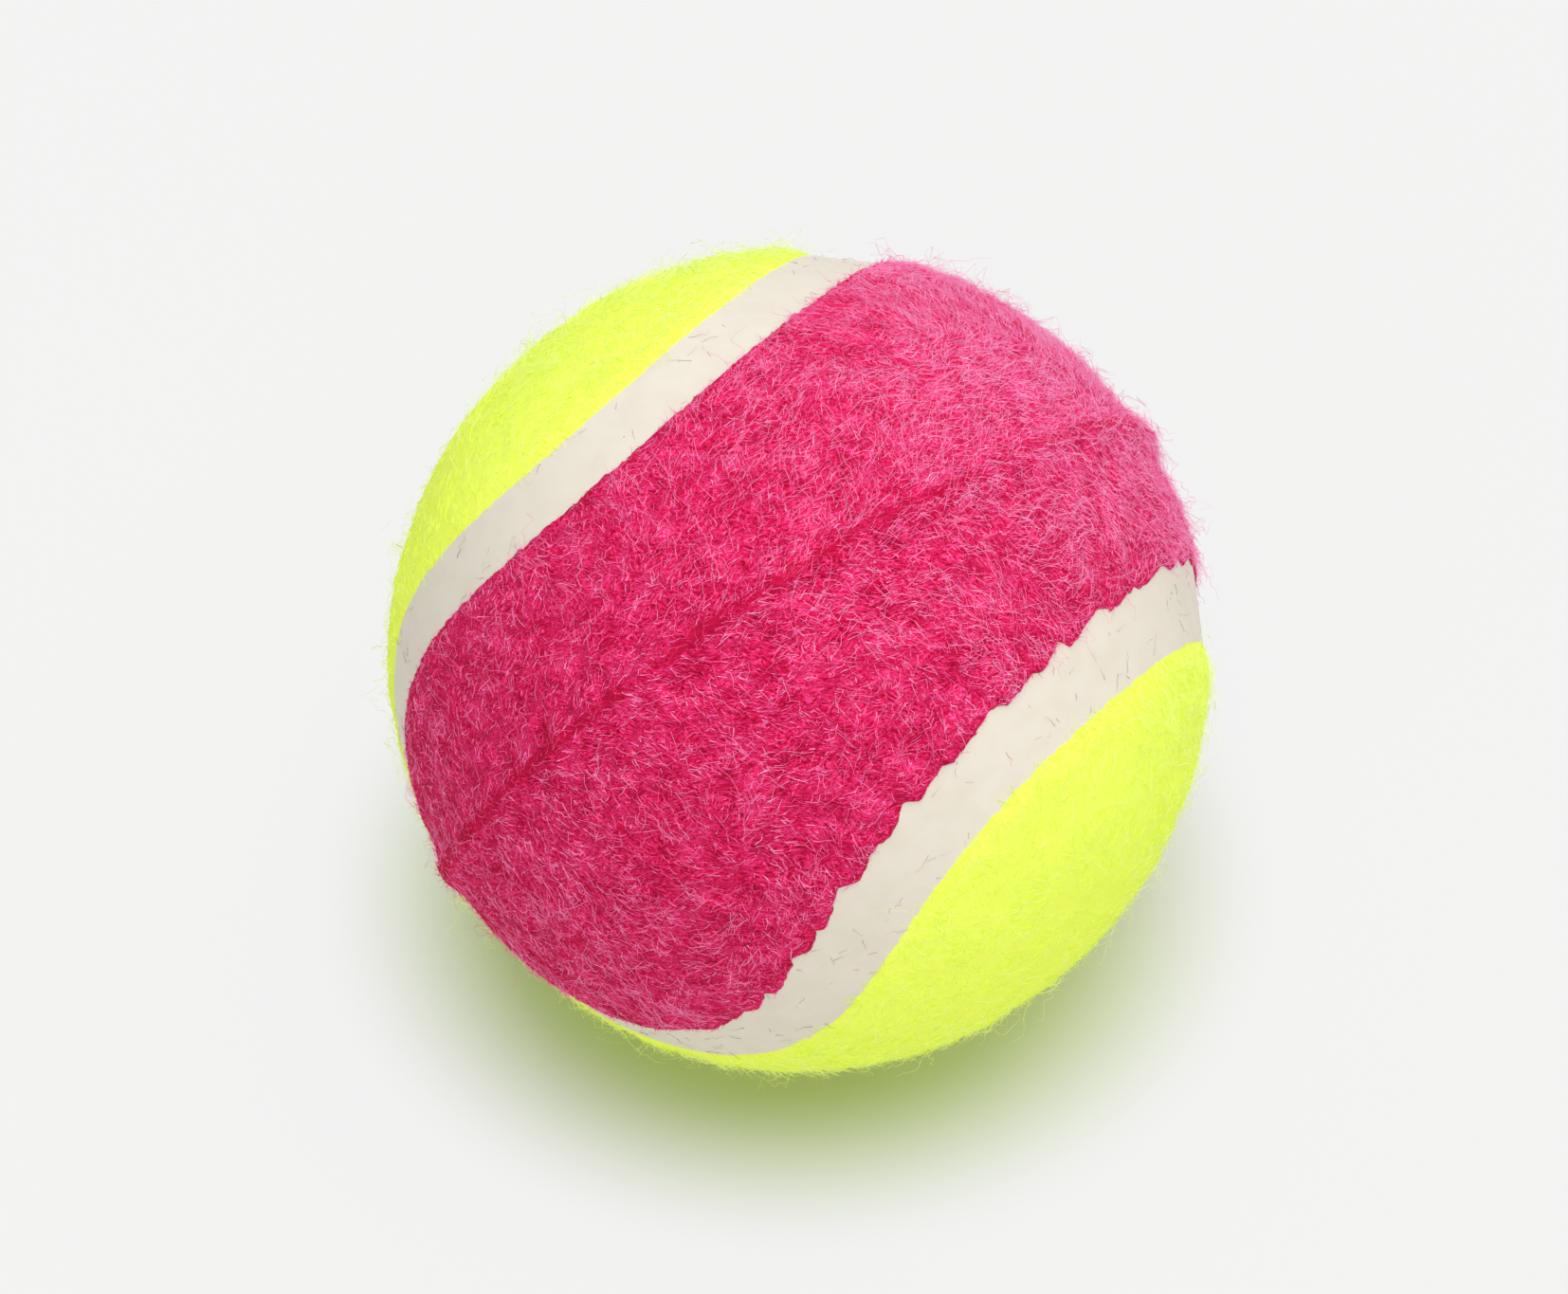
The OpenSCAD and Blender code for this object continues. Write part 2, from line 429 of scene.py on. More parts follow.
grid = {  # points of a panel's face and back
    "rowGap": 0.866,  # share of the step, as in even triangles
    "jitter": 0.16,
    "topClear": 0.45,  # shares of the step that stay free along the edge
    "backClear": 0.4,
    "topSeed": 11,
    "backSeed": 12,
    "atOnce": 2000,  # points compared with a ring in one go
    "tooNear": 1e-9,
    "napFrom": 2,  # the nap grows from this ring of the profile inwards
}
layRule = {  # which way the nap lies
    "swirlSize": 0.010,
    "fineSwirlSize": 0.0026,
    "fineSwirl": 0.4,
    "sweep": 0.7,  # swept off the crest, to both sides and along it
    "sweepWidth": 0.011,
    "crestWidth": 0.0012,  # and drawn along the crest itself
    "crestLoss": 0.75,
    "crestPull": 1.1,
    "combStart": 1.35,
    "combWidth": 0.0011,
    "combPull": 1.5,
    "onRing": 1e-6,  # gives a direction to points on the ring itself
    "parts": 20,  # points are compared with a ring in so many goes
}
growthRule = {  # how long the nap is, how thickly it grows and how fluffy it is
    "reachAtEdge": 0.65,
    "reachCombed": 0.55,
    "reachWidth": 0.002,
    "reachLeast": 0.3,
    "patchSize": 0.0024,
    "patchBase": 0.35,
    "patchGain": 1.1,
    "patchLimits": (0.15, 1.4),
    "thinSize": 0.003,  # the nap is thinner in places along the crest
    "thinMean": 0.55,
    "thinSwing": 0.45,
    "thinLeast": 0.2,
    "thinLoss": 0.35,
    "thinWidth": 0.0003,
    "rimWidth": 0.0009,
    "rimGain": 1.5,
    "fluffBase": 0.6,  # on the fluffy side
    "fluffGain": 2.2,
    "fluffPower": 1.5,
    "farBase": 0.35,  # and opposite
    "farGain": 0.8,
    "farPower": 3,
}


def panelAxes(side):
    s = math.sqrt(0.5)
    middle = np.array((0, 0, side))
    along = np.array((s, -s * side, 0))
    across = np.array((s, s * side, 0))
    return middle, along, across


def flatten(p, side):
    # unrolls directions on a panel to angles along and across it
    middle, along, across = panelAxes(side)
    return np.stack([np.arctan2(p @ along, p @ middle), np.arcsin(np.clip(p @ across, -1, 1))], axis=-1)


def rollUp(flat, side):
    # from angles back to directions
    middle, along, across = panelAxes(side)
    c = np.cos(flat[:, 1])
    return (np.outer(c * np.cos(flat[:, 0]), middle) + np.outer(c * np.sin(flat[:, 0]), along)
            + np.outer(np.sin(flat[:, 1]), across))


def panelEdge(panel, t):
    # signed distance of the cut edge from the seam curve
    side = panel["side"]
    rag = panel["edgeRag"] * noiseAt(besideSeam(t, 0 * t), cut["ragSize"], shifts["rag"] + side, 2)
    if side > 0:
        return cut["pinkEdge"] - bulge(t) + notch(t) + rag * edgeRoom(t)
    return -cut["yellowEdge"] - bulge(t) + rag


def insidePolygon(points, polygon):
    inside = np.zeros(len(points), bool)
    x, y = points[:, 0], points[:, 1]
    x0, y0 = polygon[-1]
    for x1, y1 in polygon:
        if y0 != y1:
            inside ^= ((y1 > y) != (y0 > y)) & (x < (x0 - x1) * (y - y1) / (y0 - y1) + x1)
        x0, y0 = x1, y1
    return inside


def edgeGap(p, ring):
    # distance from the ring, along the surface
    parts = np.array_split(p, max(1, len(p) // grid["atOnce"]))
    near = np.concatenate([(part @ ring.T).max(axis=1) for part in parts])
    return np.arccos(np.clip(near, -1, 1)) * ball["feltRadius"]


def gridInside(ring, side, step, clear, seed):
    # even scatter of directions inside a ring of directions, and their distance from it
    outline = flatten(ring, side)
    low, high = outline.min(axis=0), outline.max(axis=0)
    gap = step / ball["feltRadius"]
    rng = np.random.default_rng(seed)
    rows = []
    for k, lat in enumerate(np.arange(low[1], high[1], gap * grid["rowGap"])):
        stepHere = gap / math.cos(lat)
        lon = np.arange(low[0], high[0], stepHere) + (k % 2) * stepHere / 2
        rows.append(np.stack([lon, np.full_like(lon, lat)], axis=-1))
    spots = np.concatenate(rows)
    spots = spots + rng.uniform(-grid["jitter"], grid["jitter"], spots.shape) * gap
    p = rollUp(spots[insidePolygon(spots, outline)], side)
    reach = edgeGap(p, ring)
    kept = reach > clear * step
    return p[kept], reach[kept]


def fillRing(ring, inner, side, outward):
    # triangles over a ring and the points inside it; kind 1 keeps those within the ring
    flat = flatten(np.concatenate([ring, inner]), side)
    n = len(ring)
    edges = [(i, (i + 1) % n) for i in range(n)]
    result = delaunay_2d_cdt([Vector(f) for f in flat], edges, [], 1, grid["tooNear"])
    if len(result[0]) != len(flat):
        raise ValueError("the felt's triangles need points that don't meet")
    order = [o[0] for o in result[3]]
    faces = np.array([[order[i] for i in f] for f in result[2]])
    a, b, c = flat[faces[:, 0]], flat[faces[:, 1]], flat[faces[:, 2]]
    left = (b[:, 0] - a[:, 0]) * (c[:, 1] - a[:, 1]) - (b[:, 1] - a[:, 1]) * (c[:, 0] - a[:, 0]) > 0
    middle, along, across = panelAxes(side)
    wanted = left if np.dot(np.cross(along, across), middle) * outward > 0 else ~left
    faces[~wanted] = faces[~wanted][:, ::-1]
    return faces


def bandFaces(n, rows, closed):
    # quads between rings of n points, and from the last ring to the first if closed
    faces = []
    for k in range(rows if closed else rows - 1):
        low, high = k * n, (k + 1) % rows * n
        faces += [(low + i, low + (i + 1) % n, high + (i + 1) % n, high + i) for i in range(n)]
    return faces


def groundHeight(panel, p, gap):
    # radius of the felt's ground, smooth at the edge
    fade = np.clip(gap / panel["edgeFade"], 0, 1)
    lumps = noiseAt(p, panel["lumpSize"], shifts["lumps"]) * panel["lumpHeight"]
    grain = noiseAt(p, panel["grainSize"], shifts["grain"], 2) * panel["grainHeight"]
    endFade = np.clip((gap - ridge["endGap"]) / ridge["endFade"], 0, 1)
    split = np.exp(-(ridgeGap(p) / ridge["splitWidth"]) ** 2) * ridge["splitDepth"]
    height = panel["groundRadius"] + fade * (lumps + grain) + endFade * (ridgeRise(p) - split)
    return height - (1 - fade) ** 2 * panel["edgeDrop"]


def makePanel(name, panel):
    side, n, profile = panel["side"], panel["ringPoints"], panel["profile"]
    t = np.linspace(0, 2 * math.pi, n, endpoint=False)
    edge = panelEdge(panel, t)
    rings = [besideSeam(t, edge + side * d) * r for d, r in profile]
    backRing, topRing = unit(rings[0]), unit(rings[-1])
    inner, gap = gridInside(topRing, side, panel["gridStep"], grid["topClear"], grid["topSeed"])
    back = gridInside(backRing, side, panel["backStep"], grid["backClear"], grid["backSeed"])[0]
    top = inner * groundHeight(panel, inner, gap)[:, None]
    points = np.concatenate(rings + [top, back * ball["backRadius"]])
    faces = bandFaces(n, len(rings), closed=False)
    if side < 0:
        faces = [f[::-1] for f in faces]
    base = (len(rings) - 1) * n
    faces += [tuple(f) for f in fillRing(topRing, inner, side, 1) + base]
    last = len(rings) * n + len(top)
    for f in fillRing(backRing, back, side, -1):
        faces.append(tuple(int(i) if i < n else int(i) - n + last for i in f))
    piece = makeMesh(name, points @ lieTurn.T, faces)
    first = grid["napFrom"] * n
    grown = [tuple(int(i) - first for i in f) for f in faces if min(f) >= first and max(f) < last]
    ground = makeMesh(name + "Ground", points[first:last] @ lieTurn.T, grown)
    gaps = [np.full(n, d) for d, r in profile[grid["napFrom"]:]] + [gap + profile[-1][0]]
    addLay(ground, unit(points[first:last]), np.concatenate(gaps), backRing, panel["combed"])
    print(name, len(piece.data.polygons), "faces")
    return piece, ground


def napLay(p, gap, ring, combed):
    # swirls that are swept off the ridge's crest, and combed inwards at the cut edge
    rule = layRule
    crestGap = ridgeGap(p)
    swirl = noiseVectorAt(p, rule["swirlSize"], shifts["swirl"])
    swirl = swirl + rule["fineSwirl"] * noiseVectorAt(p, rule["fineSwirlSize"], shifts["fineSwirl"])
    away = np.sign(crestGap)[:, None] * ridgeNormal
    alongCrest = tangent(np.cross(ridgeNormal, p), p)
    swirl += rule["sweep"] * np.exp(-(crestGap / rule["sweepWidth"]) ** 2)[:, None] * (away + alongCrest)
    crest = np.exp(-(crestGap / rule["crestWidth"]) ** 2)[:, None]
    lay = tangent(swirl, p) * (1 - rule["crestLoss"] * crest) + alongCrest * rule["crestPull"] * crest
    parts = np.array_split(p, rule["parts"])
    nearest = np.concatenate([ring[(part @ ring.T).argmax(axis=1)] for part in parts])
    inward = tangent(p - nearest + rule["onRing"] * swirl, p)
    edge = combed * np.clip(rule["combStart"] - gap / rule["combWidth"], 0, 1)[:, None]
    return tangent(tangent(lay, p) * (1 - edge) + inward * rule["combPull"] * edge, p)


def napGrowth(p, gap, combed):
    rule = growthRule
    reach = rule["reachAtEdge"] - rule["reachCombed"] * combed + gap / rule["reachWidth"]
    patch = 0.5 + 0.5 * noiseAt(p, rule["patchSize"], shifts["patch"], 2)
    thick = np.clip(rule["patchBase"] + rule["patchGain"] * patch, *rule["patchLimits"])
    thin = rule["thinMean"] + rule["thinSwing"] * noiseAt(p, rule["thinSize"], shifts["crestBreak"], 2)
    onCrest = np.exp(-(ridgeGap(p) / rule["thinWidth"]) ** 2)
    thick *= 1 - np.clip(rule["thinLeast"] + thin, 0, 1) * rule["thinLoss"] * onCrest
    thick *= np.where(gap < rule["rimWidth"], rule["rimGain"], 1.0)
    facing = p @ lieTurn.T @ np.array(ball["fluffAndPaintedLightSide"])
    fluffAndPaintedLight = rule["fluffBase"] + rule["fluffGain"] * np.abs(facing) ** rule["fluffPower"]
    far = rule["farBase"] + rule["farGain"] * np.abs(facing) ** rule["farPower"]
    return {
        "reach": np.clip(reach, rule["reachLeast"], 1),
        "thick": thick,
        "fluff": np.where(facing > 0, fluffAndPaintedLight, far),
    }


def addLay(ground, p, gap, ring, combed):
    # what the nap's nodes read from its ground
    attributes = ground.data.attributes
    lay = napLay(p, gap, ring, combed) @ lieTurn.T
    attributes.new("lay", "FLOAT_VECTOR", "POINT").data.foreach_set("vector", lay.ravel())
    for label, values in napGrowth(p, gap, combed).items():
        attributes.new(label, "FLOAT", "POINT").data.foreach_set("value", values)


pinkFelt, pinkGround = makePanel("pinkFelt", pinkPanel)
yellowFelt, yellowGround = makePanel("yellowFelt", yellowPanel)

# seam: one moulded band, a little hollow across its width
seam = {
    "ringPoints": 1800,
    "acrossPoints": 14,
    "dish": 0.00012,
    "waveSize": 0.006,
    "waveHeight": 0.00005,
    "backShares": (1.0, 0.5, 0.0),  # places across the band's back
    "lintGap": 0.01,  # loose fibres heed no edge
}


def makeSeam(s):
    n, m = s["ringPoints"], s["acrossPoints"]
    t = np.linspace(0, 2 * math.pi, n, endpoint=False)
    pinkSide = panelEdge(pinkPanel, t)
    yellowSide = panelEdge(yellowPanel, t)
    rows = []
    for j in range(m):
        share = j / (m - 1)
        p = besideSeam(t, yellowSide + (pinkSide - yellowSide) * share)
        r = ball["seamRadius"] - s["dish"] * (1 - (2 * share - 1) ** 2) + 0 * t
        rows.append(p * (r + s["waveHeight"] * noiseAt(p, s["waveSize"], shifts["seamWave"]))[:, None])
    for share in s["backShares"]:
        p = besideSeam(t, yellowSide + (pinkSide - yellowSide) * share)
        rows.append(p * ball["coatRadius"])
    points = np.concatenate(rows)
    faces = bandFaces(n, len(rows), closed=True)
    piece = makeMesh("seamBand", points @ lieTurn.T, faces)
    top = [f for f in faces if max(f) < m * n]
    ground = makeMesh("seamGround", points[:m * n] @ lieTurn.T, top)
    p = unit(points[:m * n])
    addLay(ground, p, np.full(len(p), s["lintGap"]), p[:n], 0.0)
    return piece, ground


seamBand, seamGround = makeSeam(seam)
print("seam made")

# nap: fibres that grow from a panel's ground, follow its lay and curl
napSockets = (
    ("Geometry", "Geometry"), ("Density", "Float"), ("Seed", "Int"), ("Length", "Float"),
    ("Length Spread", "Float"), ("Thickness", "Float"), ("Rise", "Float"), ("Sink", "Float"),
    ("Stray", "Float"), ("Curl", "Float"), ("Curl Size", "Float"), ("Points", "Int"), ("Droop", "Float"),
    ("Uneven", "Float"), ("Material", "Material"),
)
strandRule = {
    "draws": {"stray": 3, "length": 5, "tint": 7, "lift": 9},  # added to the seed
    "lift": (0.35, 1.0),  # how much of its rise a strand has
    "curlTurns": 9.0,  # keeps the strands' curls apart
    "taper": 0.7,
    "sides": 3,
}


def chance(tree, given, draw, low, high):
    seed = maths(tree, "ADD", given["Seed"], strandRule["draws"][draw])
    inputs = {"Min": low, "Max": high, "Seed": seed}
    return addNode(tree, "FunctionNodeRandomValue", inputs, data_type="FLOAT").outputs["Value"]


def named(tree, label, kind="FLOAT"):
    node = addNode(tree, "GeometryNodeInputNamedAttribute", {"Name": label}, data_type=kind)
    return node.outputs["Attribute"]


def store(tree, geometry, label, value, domain):
    inputs = {"Geometry": geometry, "Name": label, "Value": value}
    node = addNode(tree, "GeometryNodeStoreNamedAttribute", inputs, domain=domain, data_type="FLOAT")
    return node.outputs["Geometry"]


def scatterStrands(tree, given):
    # straight strands along the lay, more or less astray
    uneven = maths(tree, "MULTIPLY", maths(tree, "SUBTRACT", named(tree, "fluff"), 1.0), given["Uneven"])
    thick = maths(tree, "MULTIPLY", named(tree, "thick"), maths(tree, "ADD", uneven, 1.0))
    scatter = addNode(tree, "GeometryNodeDistributePointsOnFaces", {
        "Mesh": given["Geometry"],
        "Density": maths(tree, "MULTIPLY", given["Density"], thick),
        "Seed": given["Seed"],
    }, distribute_method="RANDOM")
    stray = given["Stray"]
    lean = addNode(tree, "ShaderNodeVectorRotate", {
        "Vector": named(tree, "lay", "FLOAT_VECTOR"),
        "Axis": scatter.outputs["Normal"],
        "Angle": chance(tree, given, "stray", maths(tree, "MULTIPLY", stray, -1.0), stray),
    }, rotation_type="AXIS_ANGLE")
    facing = addNode(tree, "FunctionNodeAxesToRotation", {
        "Primary Axis": scatter.outputs["Normal"],
        "Secondary Axis": lean.outputs["Vector"],
    }, primary_axis="Z", secondary_axis="X")
    length = given["Length"]
    spread = maths(tree, "MULTIPLY", length, given["Length Spread"])
    shortest, longest = maths(tree, "SUBTRACT", length, spread), maths(tree, "ADD", length, spread)
    size = maths(tree, "MULTIPLY", chance(tree, given, "length", shortest, longest), named(tree, "reach"))
    line = addNode(tree, "GeometryNodeCurvePrimitiveLine", {"Start": (0, 0, 0), "End": (1, 0, 0)})
    strand = addNode(tree, "GeometryNodeResampleCurve", {
        "Curve": line.outputs["Curve"],
        "Count": given["Points"],
    })
    grow = addNode(tree, "GeometryNodeInstanceOnPoints", {
        "Points": scatter.outputs["Points"],
        "Instance": strand.outputs["Curve"],
        "Rotation": facing.outputs["Rotation"],
        "Scale": size,
    })
    tint = chance(tree, given, "tint", 0.0, 1.0)
    lift = chance(tree, given, "lift", *strandRule["lift"])
    marked = grow.outputs["Instances"]
    for label, value in (("tint", tint), ("lift", lift), ("size", size)):
        marked = store(tree, marked, label, value, "INSTANCE")
    return addNode(tree, "GeometryNodeRealizeInstances", {"Geometry": marked}).outputs["Geometry"]


def bendStrands(tree, given, strands, along):
    # each strand rises, droops towards its end and curls by a noise of its own
    here = addNode(tree, "GeometryNodeInputPosition").outputs["Position"]
    droop = maths(tree, "MULTIPLY", maths(tree, "MULTIPLY", along, along), given["Droop"])
    arch = maths(tree, "MULTIPLY", maths(tree, "SUBTRACT", along, droop), given["Rise"])
    rise = maths(tree, "MULTIPLY", maths(tree, "MULTIPLY", arch, named(tree, "lift")), named(tree, "size"))
    rise = maths(tree, "SUBTRACT", rise, given["Sink"])
    waves = addNode(tree, "ShaderNodeTexNoise", {
        "Vector": vectors(tree, "SCALE", {0: here, "Scale": maths(tree, "DIVIDE", 1.0, given["Curl Size"])}),
        "W": maths(tree, "MULTIPLY", named(tree, "tint"), strandRule["curlTurns"]),
        "Detail": 1.0,
    }, noise_dimensions="4D")
    amount = maths(tree, "MULTIPLY", maths(tree, "MULTIPLY", along, given["Curl"]), named(tree, "size"))
    curl = vectors(tree, "SUBTRACT", {0: waves.outputs["Color"], 1: (0.5, 0.5, 0.5)})
    curl = vectors(tree, "SCALE", {0: curl, "Scale": amount})
    up = vectors(tree, "SCALE", {0: vectors(tree, "NORMALIZE", {0: here}), "Scale": rise})
    bend = addNode(tree, "GeometryNodeSetPosition", {
        "Geometry": strands,
        "Offset": vectors(tree, "ADD", {0: up, 1: curl}),
    })
    return store(tree, bend.outputs["Geometry"], "along", along, "POINT")


def skinStrands(tree, given, strands, along):
    # strands with few sides, thinner towards their ends
    thin = maths(tree, "SUBTRACT", 1.0, maths(tree, "MULTIPLY", along, strandRule["taper"]))
    taper = addNode(tree, "GeometryNodeSetCurveRadius", {
        "Curve": strands,
        "Radius": maths(tree, "MULTIPLY", given["Thickness"], thin),
    })
    section = addNode(tree, "GeometryNodeCurvePrimitiveCircle", {
        "Resolution": strandRule["sides"],
        "Radius": 0.5,  # so that a thickness is a diameter
    })
    skin = addNode(tree, "GeometryNodeCurveToMesh", {
        "Curve": taper.outputs["Curve"],
        "Profile Curve": section.outputs["Curve"],
        "Scale": addNode(tree, "GeometryNodeInputRadius").outputs["Radius"],
        "Fill Caps": True,
    })
    bare = skin.outputs["Mesh"]
    for label in ("lay", "reach", "thick", "fluff", "lift", "size"):
        drop = addNode(tree, "GeometryNodeRemoveAttribute", {"Geometry": bare, "Name": label})
        bare = drop.outputs["Geometry"]
    return addNode(tree, "GeometryNodeSetShadeSmooth", {"Geometry": bare}).outputs["Geometry"]


def napTree():
    tree = bpy.data.node_groups.new("nap", "GeometryNodeTree")
    for label, kind in napSockets:
        tree.interface.new_socket(label, in_out="INPUT", socket_type="NodeSocket" + kind)
    tree.interface.new_socket("Geometry", in_out="OUTPUT", socket_type="NodeSocketGeometry")
    given = addNode(tree, "NodeGroupInput").outputs
    along = addNode(tree, "GeometryNodeSplineParameter").outputs["Factor"]
    strands = bendStrands(tree, given, scatterStrands(tree, given), along)
    skin = skinStrands(tree, given, strands, along)
    whole = addNode(tree, "GeometryNodeRealizeInstances", {"Geometry": skin})
    dress = addNode(tree, "GeometryNodeSetMaterial", {
        "Geometry": whole.outputs["Geometry"],
        "Material": given["Material"],
    })
    addNode(tree, "NodeGroupOutput", {"Geometry": dress.outputs["Geometry"]})
    return tree


napNodes = napTree()


def growNap(name, ground, values, material):
    holder = bpy.data.objects.new(name + "Maker", ground.data)
    bpy.context.scene.collection.objects.link(holder)
    modifier = holder.modifiers.new("nap", "NODES")
    modifier.node_group = napNodes
    given = dict(values, Material=material)
    for item in napNodes.interface.items_tree:
        if item.in_out == "INPUT" and item.name in given:
            modifier[item.identifier] = given[item.name]
    evaluated = holder.evaluated_get(bpy.context.evaluated_depsgraph_get())
    mesh = bpy.data.meshes.new_from_object(evaluated)
    holder.modifiers.remove(modifier)
    bpy.data.objects.remove(holder)
    mesh.name = name
    piece = bpy.data.objects.new(name, mesh)
    bpy.context.scene.collection.objects.link(piece)
    print(name, sum(len(p.vertices) - 2 for p in mesh.polygons), "triangles")
    return piece


# materials of the felt: matted strands on the ground, with painted shade in their hollows, and fibres that
# differ in tone, with painted shade towards their roots
matting = {
    "thin": 0.00013,
    "long": 0.0008,
    "swirlScale": 420.0,
    "swirl": 0.0022,
    "distortion": 0.35,
    "turns": [(0.3, 0.2, 0.1), (1.2, 0.9, 2.0), (2.1, 1.7, 0.6), (0.7, 2.4, 1.3), (1.8, 0.4, 2.7)],
    "bump": 0.00025,
    "surface": {"Roughness": 0.9, "Specular IOR Level": 0.15},
}
fibre = {
    "paintedRootShade": 0.2,  # a fibre is darker towards its root, a painted shade, and its tone differs from one fibre to another
    "fromTint": 0.8,
    "surface": {"Roughness": 0.55, "Specular IOR Level": 0.3},
}
dye = {
    "blotchScale": 430.0,
    "blotchDetail": 3.0,
    "clumpScale": 2800.0,
    "clumpDetail": 1.0,
    "paintedLightFrom": 0.4,  # share of the way round to the fluffy side where the painted paler light begins
    "paintedLightShift": 0.07,
}
creaseShadeAndDye = {  # painted shade: the crest of the ridge is painted darker, and dyed a deeper red
    "colour": (0.9, 0.006, 0.1, 1),
    "shift": 0.16,
    "mix": 0.56,
    "span": (0.0008, 0.00005),  # distances from the crest where the painted shade and dye start and are full
    "wobbleScale": 420.0,
    "wobble": 0.0016,
    "breakScale": 260.0,
    "breakGain": 4.2,
    "breakShift": -1.45,
    "breakLeast": 0.1,
    "faintSpan": (0.002, 0.016),  # fainter to the right
    "faintTo": 0.6,
}
pinkPaintedGlow = (0.1, 0.0, 0.015, 1)  # painted glow on the pink felt: an emission that lifts it where its fibres shade each other
yellowPaintedGlow = (0.14, 0.175, 0.01, 1)  # and a painted glow on the yellow felt, standing in for the brightness of its fluorescent dye


def ramp(tree, factor, stops):
    node = addNode(tree, "ShaderNodeValToRGB", {"Fac": factor})
    elements = node.color_ramp.elements
    while len(elements) < len(stops):
        elements.new(0.5)
    for element, (place, colour) in zip(elements, stops):
        element.position = place
        element.color = colour + (1,)
    return node.outputs["Color"]


def textureAt(tree, scale, detail, distortion=0.0):
    inputs = {"Vector": objectPlace(tree), "Scale": scale, "Detail": detail, "Distortion": distortion}
    return addNode(tree, "ShaderNodeTexNoise", inputs).outputs["Fac"]


def bumpFrom(tree, shader, height, strength, distance):
    bump = addNode(tree, "ShaderNodeBump", {"Strength": strength, "Distance": distance, "Height": height})
    tree.links.new(bump.outputs["Normal"], shader.inputs["Normal"])


def mattedStrands(tree):
    # noise drawn out along several directions, the highest on top
    place = objectPlace(tree)
    swirl = addNode(tree, "ShaderNodeTexNoise", {
        "Vector": place,
        "Scale": matting["swirlScale"],
        "Detail": 1.0,
    })
    bent = vectors(tree, "MULTIPLY_ADD", {0: swirl.outputs["Color"], 1: (matting["swirl"],) * 3, 2: place})
    layers = []
    for turn in matting["turns"]:
        drawn = addNode(tree, "ShaderNodeMapping", {
            "Vector": bent,
            "Rotation": turn,
            "Scale": (1 / matting["long"], 1 / matting["thin"], 1 / matting["thin"]),
        })
        grain = addNode(tree, "ShaderNodeTexNoise", {
            "Vector": drawn.outputs["Vector"],
            "Scale": 1.0,
            "Detail": 1.0,
            "Distortion": matting["distortion"],
        })
        layers.append(grain.outputs["Fac"])
    top = layers[0]
    for layer in layers[1:]:
        top = maths(tree, "MAXIMUM", top, layer)
    return top


def crease(tree):
    # 1 on the crest of the mould's ridge, broken along its length, where painted shade and deeper red go
    c = creaseShadeAndDye
    place = objectPlace(tree)
    gap = vectors(tree, "DOT_PRODUCT", {0: place, 1: tuple(lieTurn @ ridgeNormal)})
    wobble = textureAt(tree, c["wobbleScale"], 4.0)
    wobble = maths(tree, "MULTIPLY_ADD", wobble, c["wobble"], -0.5 * c["wobble"])
    near = mapRange(tree, maths(tree, "ABSOLUTE", maths(tree, "ADD", gap, wobble)), c["span"], smooth=True)
    broken = textureAt(tree, c["breakScale"], 2.0)
    broken = maths(tree, "MULTIPLY_ADD", broken, c["breakGain"], c["breakShift"])
    broken = maths(tree, "MINIMUM", maths(tree, "MAXIMUM", broken, c["breakLeast"]), 1.0)
    right = addNode(tree, "ShaderNodeSeparateXYZ", {"Vector": place}).outputs["X"]
    faint = mapRange(tree, right, c["faintSpan"], (1.0, c["faintTo"]))
    return maths(tree, "MULTIPLY", maths(tree, "MULTIPLY", near, broken), faint)


def fluffAndPaintedLight(tree):
    # 0 to 1: how far round towards the fluffy side, where the colour is painted paler as if lit
    facing = vectors(tree, "DOT_PRODUCT", {0: objectPlace(tree), 1: ball["fluffAndPaintedLightSide"]})
    return mapRange(tree, facing, (dye["paintedLightFrom"] * ball["feltRadius"], ball["feltRadius"]), smooth=True)


def feltColour(tree, shader, factor, look):
    # blotches and clumps shift the tone at random; a creased panel also gets painted shade along its crest
    # and is painted paler, as if lit, towards its fluffy side
    for label in ("blotch", "clump"):
        cloud = textureAt(tree, dye[label + "Scale"], dye[label + "Detail"])
        shift = maths(tree, "MULTIPLY_ADD", cloud, look[label], -0.5 * look[label])
        factor = maths(tree, "ADD", factor, shift)
    if look["creased"]:
        deep = crease(tree)
        # painted shade: darker and a deeper red along the crest
        factor = maths(tree, "SUBTRACT", factor, maths(tree, "MULTIPLY", deep, creaseShadeAndDye["shift"]))
        # painted light: paler towards the fluffy side
        factor = maths(tree, "ADD", factor, maths(tree, "MULTIPLY", fluffAndPaintedLight(tree), dye["paintedLightShift"]))
    colour = ramp(tree, factor, look["stops"])
    if look["creased"]:
        amount = maths(tree, "MULTIPLY", deep, creaseShadeAndDye["mix"])
        colour = mixColour(tree, amount, colour, creaseShadeAndDye["colour"])
    tree.links.new(colour, shader.inputs["Base Color"])
    # painted glow: the felt gives off a little light of its own, though it is no lamp
    if "glow" in look:
        shader.inputs["Emission Color"].default_value = look["glow"]
        shader.inputs["Emission Strength"].default_value = 1.0


def feltGround(look):
    material, tree, shader = newMaterial(look["name"], matting["surface"])
    matted = mattedStrands(tree)
    # painted shade: the colour follows the same strands as the bump, darker in their hollows and paler on
    # their tops
    feltColour(tree, shader, matted, look)
    bumpFrom(tree, shader, matted, look["depth"], matting["bump"])
    return material


def feltFibre(look):
    material, tree, shader = newMaterial(look["name"], fibre["surface"])
    tint = addNode(tree, "ShaderNodeAttribute", attribute_name="tint").outputs["Fac"]
    along = addNode(tree, "ShaderNodeAttribute", attribute_name="along").outputs["Fac"]
    own = maths(tree, "MULTIPLY", tint, fibre["fromTint"])
    # painted shade: darker towards the fibre's root, paler towards its end
    feltColour(tree, shader, maths(tree, "MULTIPLY_ADD", along, fibre["paintedRootShade"], own), look)
    return material


